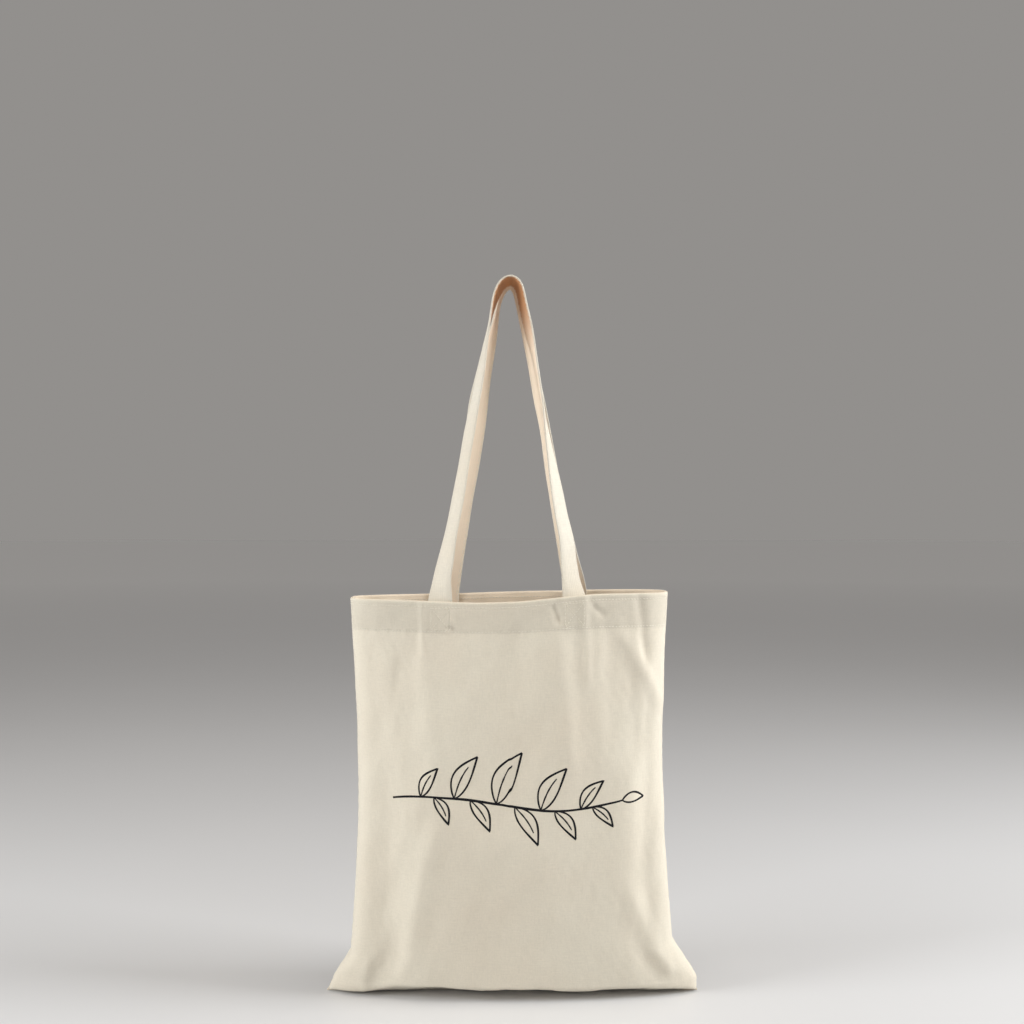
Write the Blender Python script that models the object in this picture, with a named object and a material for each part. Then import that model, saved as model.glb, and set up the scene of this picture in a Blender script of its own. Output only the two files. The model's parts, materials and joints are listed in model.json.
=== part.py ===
"""Canvas tote bag, standing open on its base with both handles raised.

Units are metres and +Z is up. The base stands on z = 0, the front panel faces -Y, and X runs along the
mouth. Every cloth piece is a sheet with its own thickness: two panels sewn at the sides and the base, a
turned-in hem round the mouth, seam allowances inside, and two straps whose ends are sewn under the hem.
Each strap is split at the mouth edge, where it bends: its ends stay with the bag, and its loop folds over.
"""

import math

import bmesh
import bpy
import numpy as np
from mathutils import Matrix, Vector

# The panels, sewn flat from seam to seam, and the shape they take when the bag stands open.
PANEL_WIDTH = 0.380
MOUTH_HEIGHT = 0.404
PANEL_THICKNESS = 0.0010
MOUTH_DEPTH = 0.100
FOOT_DEPTH = 0.080
BELLY = 0.0165
MOUTH_SWAY = -0.003
SECTION_POWER = 3.0
SIDE_TURN = 0.56

# The lower corners, where the side seam runs out to the end of the base seam.
EAR_HEIGHT = 0.050
EAR_TIP_HEIGHT = 0.0165
EAR_POWER = 2.0
EAR_SHARPNESS = 16
FOOT_RADIUS = 0.012

# The hem, and the sewing.
HEM_DEPTH = 0.033
HEM_THICKNESS = 0.0012
ALLOWANCE_WIDTH = 0.010
ALLOWANCE_THICKNESS = 0.0018
BASE_ALLOWANCE_END = 0.045
THREAD = 0.0008
THREAD_PROUD = 0.0004
OVERLOCK = 0.0012
EDGE_STITCH_DROP = 0.005
HEM_STITCH_RISE = 0.003
BOX_STITCH_MARGIN = 0.003

# The straps.
STRAP_WIDTH = 0.025
STRAP_THICKNESS = 0.0022
HANDLE_SPACING = 0.132
HANDLE_RISE = 0.328
CROWN_RADIUS = 0.0125
STRAPS_APART = 0.003
LEFT_TURN_RISE = 0.300
RIGHT_TURN_RISE = 0.180
STRAP_LEAD = 0.030

# Clearances: between layers of cloth, and between a folding loop and the mouth edge it folds over.
LAYER_GAP = 0.0003
PIVOT_RISE = 0.0005
LOOP_LIFT = 0.0015

# How finely the sheets are divided.
COLUMNS = 28
HEM_ROWS = 1
WALL_ROWS = 8
EAR_ROWS = 4
FOOT_ROWS = 3
BASE_ROWS = 1
LEG_COLUMNS = 18
CROWN_COLUMNS = 9
SEAM_ROWS = 8
TAB_COLUMNS = 3

# Where each layer lies, as a distance inward from the outer face of the panel.
HEM_INSET = PANEL_THICKNESS + LAYER_GAP
STRAP_INSET = HEM_INSET + HEM_THICKNESS + LAYER_GAP
THREAD_INSET = -LAYER_GAP - THREAD_PROUD

FRONT = -1
BACK = 1


def smooth(share):
    """0 to 1, easing in and out, and level beyond either end."""
    share = min(max(share, 0.0), 1.0)
    return share * share * (3 - 2 * share)


def mix(low, high, share):
    return low + (high - low) * share


# ---------------------------------------------------------------- the shape of the open bag


def half_depth(z):
    """Half of the bag's depth at a height: narrow at the foot, full at the belly, less at the mouth."""
    share = (z - EAR_TIP_HEIGHT) / (MOUTH_HEIGHT - EAR_TIP_HEIGHT)
    return mix(FOOT_DEPTH, MOUTH_DEPTH, share) / 2 + BELLY * math.sin(math.pi * share)


def ear_share(z):
    """0 above the lower corners, 1 at the height of their tips."""
    return min(max((EAR_HEIGHT - z) / (EAR_HEIGHT - EAR_TIP_HEIGHT), 0.0), 1.0)


def half_width(z):
    """Half of the bag's width at a height. The deeper the bag stands open, the further its sides draw in."""
    drawn_in = PANEL_WIDTH / 2 - SIDE_TURN * half_depth(z)
    return mix(drawn_in, PANEL_WIDTH / 2, ear_share(z))


def section_power(z):
    return mix(SECTION_POWER, EAR_POWER, ear_share(z))


def sway(z):
    return MOUTH_SWAY * smooth(z / MOUTH_HEIGHT)


def section_angles(z):
    """The angles that divide one panel's level section into columns of equal length."""
    power = section_power(z)
    angles = np.linspace(-math.pi / 2, math.pi / 2, 721)
    across = np.sign(np.sin(angles)) * np.abs(np.sin(angles)) ** (2 / power)
    deep = np.abs(np.cos(angles)) ** (2 / power)
    steps = np.hypot(np.diff(half_width(z) * across), np.diff(half_depth(z) * deep))
    run = np.concatenate([[0.0], np.cumsum(steps)])
    return np.interp(np.linspace(0, run[-1], COLUMNS + 1), run, angles)


def on_section(column, z, inset, side):
    """A point of a panel's level section, counted in columns from the left seam."""
    angle = section_angles(z)[column]
    power = section_power(z)
    across = math.copysign(abs(math.sin(angle)) ** (2 / power), math.sin(angle))
    deep = abs(math.cos(angle)) ** (2 / power)
    x = (half_width(z) - inset) * across + sway(z)
    y = max((half_depth(z) - inset) * deep, LAYER_GAP / 2)
    return Vector((x, side * y, z))


def on_wall(x, z, inset, side):
    """The point of a panel's wall at a given x and height."""
    across = abs(x - sway(z)) / (half_width(z) - inset)
    power = section_power(z)
    y = (half_depth(z) - inset) * (1 - across**power) ** (1 / power)
    return Vector((x, side * y, z))


def on_foot(column, turned, inset, side):
    """A point of the turn under the wall. turned is 0 at the wall's foot and 1 where the base lies flat."""
    wall = on_section(column, EAR_TIP_HEIGHT, inset, side)
    radius = FOOT_RADIUS - inset
    angle = turned * math.pi / 2
    depth = half_depth(EAR_TIP_HEIGHT) - inset
    narrowed = (depth - radius * (1 - math.cos(angle))) / depth
    level = mix(EAR_TIP_HEIGHT, inset, math.sin(angle))
    tip_level = mix(EAR_TIP_HEIGHT, inset, turned * FOOT_ROWS / (FOOT_ROWS + BASE_ROWS))
    z = mix(level, tip_level, abs(2 * column / COLUMNS - 1) ** EAR_SHARPNESS)
    return Vector((wall.x, side * max(abs(wall.y) * narrowed, LAYER_GAP / 2), z))


def on_panel(column, row, inset, side):
    """A point of a panel, by its column from the left seam and its row down from the mouth."""
    hem_line = MOUTH_HEIGHT - HEM_DEPTH
    if row <= HEM_ROWS:
        z = mix(MOUTH_HEIGHT, hem_line, row / HEM_ROWS)
        return on_section(column, z, inset, side)
    row -= HEM_ROWS
    if row <= WALL_ROWS:
        z = mix(hem_line, EAR_HEIGHT, row / WALL_ROWS)
        return on_section(column, z, inset, side)
    row -= WALL_ROWS
    if row <= EAR_ROWS:
        z = mix(EAR_HEIGHT, EAR_TIP_HEIGHT, row / EAR_ROWS)
        return on_section(column, z, inset, side)
    row -= EAR_ROWS
    if row <= FOOT_ROWS:
        return on_foot(column, row / FOOT_ROWS, inset, side)
    foot = on_foot(column, 1.0, inset, side)
    return Vector((foot.x, side * LAYER_GAP / 2, inset))


# ---------------------------------------------------------------- making sheets


def material(name, color, roughness):
    made = bpy.data.materials.new(name)
    made.use_nodes = True
    shader = made.node_tree.nodes["Principled BSDF"]
    shader.inputs["Base Color"].default_value = (*color, 1.0)
    shader.inputs["Roughness"].default_value = roughness
    shader.inputs["Metallic"].default_value = 0.0
    return made


def finish(bm, name, cloth):
    """Turns a bmesh into an object with outward faces and its material."""
    bmesh.ops.recalc_face_normals(bm, faces=bm.faces)
    if bm.calc_volume(signed=True) < 0:
        bmesh.ops.reverse_faces(bm, faces=bm.faces[:])
    mesh = bpy.data.meshes.new(name)
    bm.to_mesh(mesh)
    bm.free()
    mesh.shade_smooth()
    mesh.set_sharp_from_angle(angle=math.radians(40))
    mesh.materials.append(cloth)
    made = bpy.data.objects.new(name, mesh)
    bpy.context.scene.collection.objects.link(made)
    return made


def thicken(bm, place, thickness):
    """Gives a flat pattern its second face, then puts both faces in place."""
    extruded = bmesh.ops.extrude_face_region(bm, geom=bm.faces[:])
    inner = {v for v in extruded["geom"] if isinstance(v, bmesh.types.BMVert)}
    for vert in bm.verts:
        vert.co = place(vert.co.x, vert.co.y, thickness if vert in inner else 0.0)


def sheet(name, cloth, columns, rows, place, thickness):
    """A closed sheet of cloth. place(column, row, depth) gives a point, with depth 0 on its first face."""
    bm = bmesh.new()
    bmesh.ops.create_grid(bm, x_segments=columns, y_segments=rows, size=0.5)
    shift = Matrix.Translation((0.5, 0.5, 0))
    bmesh.ops.transform(bm, matrix=Matrix.Diagonal((columns, rows, 1, 1)) @ shift, verts=bm.verts)
    thicken(bm, lambda x, y, depth: place(round(x), round(y), depth), thickness)
    return finish(bm, name, cloth)


# ---------------------------------------------------------------- the bag's cloth


def panel(name, side, cloth):
    rows = HEM_ROWS + WALL_ROWS + EAR_ROWS + FOOT_ROWS + BASE_ROWS
    return sheet(
        name, cloth, COLUMNS, rows, lambda c, r, depth: on_panel(c, r, depth, side), PANEL_THICKNESS
    )


def band(name, side, cloth, top, height, inset, thickness):
    """A strip that follows the wall from seam to seam, such as the hem or a row of stitching."""

    def place(column, row, depth):
        return on_section(column, top - row * height, inset + depth, side)

    return sheet(name, cloth, COLUMNS, 1, place, thickness)


def side_strip(name, end, cloth, start, width, thickness):
    """A strip down the inside of a side seam, standing inward from the seam."""
    top = MOUTH_HEIGHT - HEM_DEPTH - LAYER_GAP - THREAD
    bottom = EAR_HEIGHT + ALLOWANCE_WIDTH

    def place(column, row, depth):
        z = mix(bottom, top, column / SEAM_ROWS)
        reach = half_width(z) - start - row * width
        return Vector((end * reach + sway(z), depth - thickness / 2, z))

    return sheet(name, cloth, SEAM_ROWS, 1, place, thickness)


def base_strip(name, cloth, start, width, thickness):
    """A strip along the base seam, turned over to lie on the back panel's base."""
    reach = PANEL_WIDTH / 2 - BASE_ALLOWANCE_END

    def place(column, row, depth):
        x = mix(-reach, reach, column / SEAM_ROWS)
        return Vector((x, start + row * width, PANEL_THICKNESS + LAYER_GAP + depth))

    return sheet(name, cloth, SEAM_ROWS, 1, place, thickness)


def seam_allowances(cloth, thread):
    """The panels' edges inside each seam, and the overlock thread that binds them."""
    bind = ALLOWANCE_WIDTH + LAYER_GAP
    for name, end in (("left", -1), ("right", 1)):
        side_strip(f"{name}_seam_allowance", end, cloth, HEM_INSET, ALLOWANCE_WIDTH, ALLOWANCE_THICKNESS)
        side_strip(f"{name}_seam_overlock", end, thread, HEM_INSET + bind, OVERLOCK, OVERLOCK)
    base_strip("base_seam_allowance", cloth, LAYER_GAP, ALLOWANCE_WIDTH, ALLOWANCE_THICKNESS)
    base_strip("base_seam_overlock", thread, LAYER_GAP + bind, OVERLOCK, OVERLOCK)


def hem_and_stitching(label, side, cloth, thread):
    band(f"{label}_hem", side, cloth, MOUTH_HEIGHT, HEM_DEPTH, HEM_INSET, HEM_THICKNESS)
    for row, drop in (("edge", EDGE_STITCH_DROP), ("hem", HEM_DEPTH - HEM_STITCH_RISE)):
        top = MOUTH_HEIGHT - drop + THREAD / 2
        band(f"{label}_{row}_stitching", side, thread, top, THREAD, THREAD_INSET, THREAD_PROUD)


# ---------------------------------------------------------------- the straps


def foot_x(end):
    """Where a strap's centre crosses the mouth edge."""
    return end * HANDLE_SPACING / 2 + MOUTH_SWAY


def strap_end(name, side, end, cloth):
    """The end of a strap, sewn flat inside the hem."""
    drop = HEM_DEPTH - HEM_STITCH_RISE - THREAD

    def place(column, row, depth):
        x = foot_x(end) + STRAP_WIDTH * (column / TAB_COLUMNS - 0.5)
        return on_wall(x, MOUTH_HEIGHT - row * drop, STRAP_INSET + depth, side)

    return sheet(name, cloth, TAB_COLUMNS, 1, place, STRAP_THICKNESS)


def box_stitch(name, side, end, thread):
    """A sewn box with its two diagonals, in one row of thread, over a strap's end."""
    width = STRAP_WIDTH - 2 * BOX_STITCH_MARGIN
    high = MOUTH_HEIGHT - EDGE_STITCH_DROP - THREAD * 1.5
    low = MOUTH_HEIGHT - HEM_DEPTH + HEM_STITCH_RISE + THREAD * 1.5
    bm = bmesh.new()
    bmesh.ops.create_grid(bm, x_segments=1, y_segments=1, size=0.5)
    bmesh.ops.transform(bm, matrix=Matrix.Diagonal((width, high - low, 1, 1)), verts=bm.verts)
    bmesh.ops.poke(bm, faces=bm.faces[:])
    quarters = bm.faces[:]
    bmesh.ops.inset_individual(bm, faces=quarters, thickness=THREAD / 2, use_even_offset=True)
    bmesh.ops.delete(bm, geom=quarters, context="FACES_ONLY")

    def place(x, y, depth):
        return on_wall(foot_x(end) + x, (high + low) / 2 + y, THREAD_INSET + depth, side)

    thicken(bm, place, THREAD_PROUD)
    return finish(bm, name, thread)


def pivot(side):
    """The line at the mouth edge that a loop folds about, as a point on it."""
    edge = on_wall(foot_x(1), MOUTH_HEIGHT, 0.0, side)
    return Vector((0, edge.y, MOUTH_HEIGHT + PIVOT_RISE))


def loop_line(step, side):
    """The loop's centre line: (point, direction inward to the middle of the loop, height above its foot).

    Each leg is straight, and a round crown joins them. step counts columns from the left foot.
    """
    foot = MOUTH_HEIGHT + PIVOT_RISE + LOOP_LIFT
    top = MOUTH_HEIGHT + HANDLE_RISE
    centre_height = top - STRAP_THICKNESS / 2 - CROWN_RADIUS - foot
    end = -1 if step < LEG_COLUMNS + CROWN_COLUMNS / 2 else 1
    out = abs(foot_x(end))
    to_foot = math.hypot(out, centre_height)
    leg_angle = math.acos(CROWN_RADIUS / to_foot) - math.atan2(centre_height, out)
    touch = Vector((math.cos(leg_angle), 0, math.sin(leg_angle))) * CROWN_RADIUS
    touch.z += centre_height
    leg_step = min(step, 2 * LEG_COLUMNS + CROWN_COLUMNS - step)
    if leg_step <= LEG_COLUMNS:
        flat = Vector((out, 0, 0)).lerp(touch, leg_step / LEG_COLUMNS)
        inward = -Vector((math.cos(leg_angle), 0, math.sin(leg_angle)))
    else:
        turned = (leg_step - LEG_COLUMNS) / (CROWN_COLUMNS / 2)
        angle = mix(leg_angle, math.pi / 2, turned)
        inward = -Vector((math.cos(angle), 0, math.sin(angle)))
        flat = Vector((0, 0, centre_height)) - inward * CROWN_RADIUS
    rise = flat.z
    foot_y = on_wall(foot_x(end), MOUTH_HEIGHT, STRAP_INSET + STRAP_THICKNESS / 2, side).y
    crown_y = side * (STRAPS_APART + STRAP_WIDTH) / 2
    y = mix(foot_y, crown_y, rise / (centre_height + CROWN_RADIUS))
    return Vector((end * flat.x, y, foot + rise)), Vector((end * inward.x, 0, inward.z)), rise


def loop_frame(step, side):
    """The loop's centre point, the direction across the strap, and its outward direction."""
    last = 2 * LEG_COLUMNS + CROWN_COLUMNS
    point, inward, rise = loop_line(step, side)
    before = loop_line(max(step - 1, 0), side)[0]
    after = loop_line(min(step + 1, last), side)[0]
    along = (after - before).normalized()
    end = -1 if step < last / 2 else 1
    reach = Vector((STRAP_WIDTH / 2, 0, 0))
    edge_in = on_wall(foot_x(end) - end * reach.x, MOUTH_HEIGHT, STRAP_INSET, side)
    edge_out = on_wall(foot_x(end) + end * reach.x, MOUTH_HEIGHT, STRAP_INSET, side)
    level = (edge_in - edge_out).normalized()
    inward = level.lerp(inward, smooth(rise / STRAP_LEAD)).normalized()
    deep = along.cross(inward).normalized()
    turn_rise = LEFT_TURN_RISE if end < 0 else RIGHT_TURN_RISE
    turn = smooth(rise / turn_rise) * math.pi / 2
    across = inward * math.cos(turn) + deep * side * math.sin(turn)
    outward = deep * side * math.cos(turn) - inward * math.sin(turn)
    return point, across, outward


def handle_loop(name, side, cloth):
    """The free loop of a strap. It leaves the hem facing out, and each leg turns until the crown lies flat."""

    def place(step, row, depth):
        point, across, outward = loop_frame(step, side)
        return point + across * STRAP_WIDTH * (row - 0.5) + outward * (STRAP_THICKNESS / 2 - depth)

    steps = 2 * LEG_COLUMNS + CROWN_COLUMNS
    loop = sheet(name, cloth, steps, 1, place, STRAP_THICKNESS)
    hinge = bpy.data.objects.new(f"{name}_fold_line", None)
    hinge.location = pivot(side)
    bpy.context.scene.collection.objects.link(hinge)
    loop.data.transform(Matrix.Translation(-hinge.location))
    loop.parent = hinge
    return loop


def main():
    for old in list(bpy.data.objects):
        bpy.data.objects.remove(old, do_unlink=True)
    canvas = material("canvas", (0.83, 0.78, 0.69), 0.9)
    webbing = material("strap_webbing", (0.88, 0.84, 0.76), 0.85)
    thread = material("thread", (0.86, 0.82, 0.74), 0.7)
    for label, side in (("front", FRONT), ("back", BACK)):
        panel(f"{label}_panel", side, canvas)
        hem_and_stitching(label, side, canvas, thread)
        for hand, end in (("left", -1), ("right", 1)):
            strap_end(f"{label}_handle_{hand}_end", side, end, webbing)
            box_stitch(f"{label}_{hand}_box_stitch", side, end, thread)
        handle_loop(f"{label}_handle", side, webbing)
    seam_allowances(canvas, thread)


main()
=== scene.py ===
"""Canvas tote bag: its cloth, sewing, straps and print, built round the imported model. Metres, +Z up.

The bag stands open with its front panel facing -Y. A point of a panel is named by its flat pattern: share
runs 0 to 1 from the left seam to the right seam, and drop is the distance down the cloth from the mouth.
"""

import json
import math

import bmesh
import bpy
import numpy as np
from mathutils import Matrix, Vector


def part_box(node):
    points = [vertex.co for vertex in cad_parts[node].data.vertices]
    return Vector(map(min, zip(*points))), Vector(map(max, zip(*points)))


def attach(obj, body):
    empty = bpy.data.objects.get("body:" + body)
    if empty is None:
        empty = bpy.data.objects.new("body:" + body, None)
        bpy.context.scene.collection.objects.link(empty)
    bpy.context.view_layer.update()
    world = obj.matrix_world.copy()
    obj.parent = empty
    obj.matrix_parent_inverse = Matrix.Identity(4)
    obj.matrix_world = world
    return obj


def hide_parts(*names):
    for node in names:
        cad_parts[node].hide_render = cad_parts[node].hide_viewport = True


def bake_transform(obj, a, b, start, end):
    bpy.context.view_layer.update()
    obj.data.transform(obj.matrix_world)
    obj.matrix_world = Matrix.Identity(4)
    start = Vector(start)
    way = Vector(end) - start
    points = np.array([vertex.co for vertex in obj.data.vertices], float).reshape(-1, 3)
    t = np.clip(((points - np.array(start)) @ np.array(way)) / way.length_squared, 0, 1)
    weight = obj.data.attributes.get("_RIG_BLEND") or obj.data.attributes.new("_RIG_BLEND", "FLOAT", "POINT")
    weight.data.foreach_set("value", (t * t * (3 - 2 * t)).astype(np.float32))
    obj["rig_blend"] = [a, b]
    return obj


bl_info = {
    "name": "Canvas Tote Bag",
    "version": (1, 0, 0),
    "blender": (4, 5, 0),
    "location": "View3D > Sidebar > Tote Bag",
    "description": "Builds the cloth, sewing, straps and print of an open canvas tote bag",
    "category": "Add Mesh",
}

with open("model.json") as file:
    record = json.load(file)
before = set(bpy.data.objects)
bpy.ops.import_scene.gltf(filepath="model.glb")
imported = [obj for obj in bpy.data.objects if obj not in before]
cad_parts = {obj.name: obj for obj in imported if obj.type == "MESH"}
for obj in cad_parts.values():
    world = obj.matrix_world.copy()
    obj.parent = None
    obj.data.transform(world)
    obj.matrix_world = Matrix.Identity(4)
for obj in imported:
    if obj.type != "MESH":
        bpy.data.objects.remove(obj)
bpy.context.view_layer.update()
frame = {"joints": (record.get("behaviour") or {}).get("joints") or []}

# -------------------------------------------------- sizes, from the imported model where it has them

PANEL_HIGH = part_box("front_panel")[1]
STRAP_LOW, STRAP_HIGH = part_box("front_handle_left_end")
FLAT_WIDTH = 2 * PANEL_HIGH.x
MOUTH = PANEL_HIGH.z
HEM_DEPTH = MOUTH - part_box("front_hem")[0].z
STRAP_WIDTH = STRAP_HIGH.x - STRAP_LOW.x
LEFT_FOOT = (STRAP_LOW.x + STRAP_HIGH.x) / 2
RIGHT_FOOT = sum(corner.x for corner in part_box("front_handle_right_end")) / 2

FRONT, BACK = -1, 1
SIDES = (("front", FRONT), ("back", BACK))
FEET = {FRONT: (LEFT_FOOT - 0.003, RIGHT_FOOT), BACK: (LEFT_FOOT, RIGHT_FOOT + 0.004)}

MOUTH_DEPTH = 0.100
FOOT_DEPTH = 0.080
BELLY = 0.0165
SIDE_TURN = 0.56
SECTION_POWER = 3.0
EAR_POWER = 2.0
LEFT_EAR_TOP = 0.043
LEFT_EAR_DRAWN = 0.0065
RIGHT_EAR_TOP = 0.056
EAR_TIP = 0.0165
EAR_SHARPNESS = 16
MOUTH_SWAY = -0.003
MOUTH_SINK = 0.0015
FOOT_TURN = 0.012
TURN_LENGTH = 0.020
BASE_LENGTH = 0.028
WALL_LENGTH = MOUTH - EAR_TIP
PANEL_LENGTH = WALL_LENGTH + TURN_LENGTH + BASE_LENGTH
SEAM_LEVEL = 0.0006
SEAM_GAP = 0.0002

CLOTH = 0.0009
LAYER_GAP = 0.0003
FOLD_RADIUS = CLOTH + LAYER_GAP / 2
STRAP_THICKNESS = 0.0021
STRAP_INSET = 2 * FOLD_RADIUS + LAYER_GAP
EDGE_STITCH_DROP = 0.005
HEM_STITCH_DROP = HEM_DEPTH - 0.003
STITCH_LIFT = 0.0001
MOUTH_EASING = 0.07
SEAM_FADE = 0.020
PUCKER_PITCH = 0.012
PAD_HEIGHT = 0.0007
HEM_PROUD = 0.0004
STITCH_DIP = 0.0003
ROPING_PITCH = 0.0105
ROPING_HEIGHT = 0.00012
SEAM_DIP = 0.0011
PUCKER_HEIGHT = 0.0003


def mix(low, high, share):
    return low + (high - low) * share


def ease(share):
    """0 to 1, easing in and out, and level beyond either end."""
    share = np.clip(share, 0.0, 1.0)
    return share * share * (3 - 2 * share)


def unit(vectors):
    return vectors / (np.linalg.norm(vectors, axis=-1, keepdims=True) + 1e-12)


def bump(x, centre, width):
    return np.exp(-(((x - centre) / width) ** 2))


def run_along(points):
    """How far along a path each of its points lies."""
    return np.concatenate([[0.0], np.cumsum(np.linalg.norm(np.diff(points, axis=0), axis=1))])


def read_at(points, run, at):
    """Points at given distances along a path."""
    return np.stack([np.interp(at, run, points[:, k]) for k in range(points.shape[1])], axis=1)


# -------------------------------------------------- the shape of the open bag


def half_depth(z):
    share = np.clip((z - EAR_TIP) / (MOUTH - EAR_TIP), 0.0, 1.0)
    return mix(FOOT_DEPTH, MOUTH_DEPTH, share) / 2 + BELLY * np.sin(math.pi * share)


def reach(z, end):
    """Half of the bag's width on one side, and how far the lower corner has flared, at a height."""
    ear_top = LEFT_EAR_TOP if end < 0 else RIGHT_EAR_TOP
    widest = FLAT_WIDTH / 2 - (LEFT_EAR_DRAWN if end < 0 else 0.0)
    flare = np.clip((ear_top - z) / (ear_top - EAR_TIP), 0.0, 1.0)
    drawn_in = FLAT_WIDTH / 2 - SIDE_TURN * half_depth(z)
    return mix(drawn_in, widest, flare**1.15), flare


def level_section(angle, z):
    """A level section of one panel: x, and distance from the seam plane."""
    left, left_flare = reach(z, -1)
    right, right_flare = reach(z, 1)
    width = np.where(angle < 0, left, right)
    power = mix(SECTION_POWER, EAR_POWER, np.where(angle < 0, left_flare, right_flare))
    across = np.sign(angle) * np.abs(np.sin(angle)) ** (2 / power)
    deep = np.abs(np.cos(angle)) ** (2 / power)
    return width * across, half_depth(z) * deep


def section_table(levels, shares):
    """Angles that divide each level section into equal lengths of cloth."""
    angles = np.linspace(-math.pi / 2, math.pi / 2, 721)
    rows = []
    for z in levels:
        x, y = level_section(angles, z)
        run = np.concatenate([[0.0], np.cumsum(np.hypot(np.diff(x), np.diff(y)))])
        rows.append(np.interp(shares * run[-1], run, angles))
    return np.array(rows)


LEVEL_COUNT = 90
SHARE_COUNT = 129
SECTIONS = section_table(np.linspace(EAR_TIP, MOUTH, LEVEL_COUNT), np.linspace(0, 1, SHARE_COUNT))


def between(table, row, column):
    """Reads a table at fractional rows and columns."""
    row = np.clip(row, 0, table.shape[0] - 1.001)
    column = np.clip(column, 0, table.shape[1] - 1.001)
    i, j = row.astype(int), column.astype(int)
    a, b = row - i, column - j
    if table.ndim == 3:
        a, b = a[..., None], b[..., None]
    top = table[i, j] * (1 - b) + table[i, j + 1] * b
    low = table[i + 1, j] * (1 - b) + table[i + 1, j + 1] * b
    return top * (1 - a) + low * a


def flat_x(share):
    return (share - 0.5) * FLAT_WIDTH


def mouth_rise(x, side):
    """The mouth isn't level: its right corner rides higher, and the front dips between the straps."""
    if side == FRONT:
        return 0.0005 + 0.006 * ease(x / 0.10) - 0.0025 * bump(x, -0.035, 0.06)
    return 0.0005 + 0.006 * ease((x + 0.165) / 0.33) - 0.0008 * bump(x, 0.0, 0.08)


def foot_lift(x, side):
    """How far the front and back edges of the base stand clear of the floor, in uneven waves."""
    if side == FRONT:
        waves = 0.0030 * bump(x, -0.058, 0.045) + 0.0012 * np.sin(x * 55 + 0.6)
        return 0.0095 + waves - 0.004 * bump(x, -0.150, 0.022)
    return 0.0080 + 0.0015 * np.sin(x * 41 + 2.0)


def plain(side, share, drop):
    """The bag's outer face before any fold or seam is worked into it."""
    z = MOUTH - np.clip(drop, 0, WALL_LENGTH)
    row = (z - EAR_TIP) / (MOUTH - EAR_TIP) * (LEVEL_COUNT - 1)
    angle = between(SECTIONS, row, share * (SHARE_COUNT - 1))
    x, y = level_section(angle, z)
    turned = np.clip((drop - WALL_LENGTH) / TURN_LENGTH, 0, 1)
    under = np.clip((drop - WALL_LENGTH - TURN_LENGTH) / BASE_LENGTH, 0, 1)
    depth = half_depth(np.full_like(z, EAR_TIP))
    y = y * (depth - FOOT_TURN * (1 - np.cos(turned * math.pi / 2))) / depth * (1 - under)
    edge = foot_lift(x, side) * (1 - np.abs(2 * share - 1) ** 6)
    foot = mix(z, edge, np.sin(turned * math.pi / 2))
    foot = mix(foot, SEAM_LEVEL, under)
    tip = mix(EAR_TIP, SEAM_LEVEL, (3 * turned + under) / 4)
    x = x - LEFT_EAR_DRAWN * (3 * turned + under) / 4 * np.clip(1 - 2 * share, 0, 1) ** 6
    z = np.where(drop > WALL_LENGTH, mix(foot, tip, np.abs(2 * share - 1) ** EAR_SHARPNESS), z)
    high = np.clip(z / MOUTH, 0, 1)
    x = x + MOUTH_SWAY * ease(high)
    z = z + (mouth_rise(x, side) - MOUTH_SINK) * ease(1 - drop / MOUTH_EASING)
    return np.stack([x, side * np.maximum(y, SEAM_GAP), z], axis=-1)


def facing(surface, side, share, drop, step=0.0008):
    """Outward direction of a surface, and the direction down the cloth."""
    share_step = step / FLAT_WIDTH
    low, high = np.clip(share - share_step, 0, 1), np.clip(share + share_step, 0, 1)
    across = surface(side, high, drop) - surface(side, low, drop)
    up, down = np.clip(drop - step, 0, PANEL_LENGTH), np.clip(drop + step, 0, PANEL_LENGTH)
    along = surface(side, share, down) - surface(side, share, up)
    return unit(np.cross(across, along) * side), unit(along)


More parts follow.
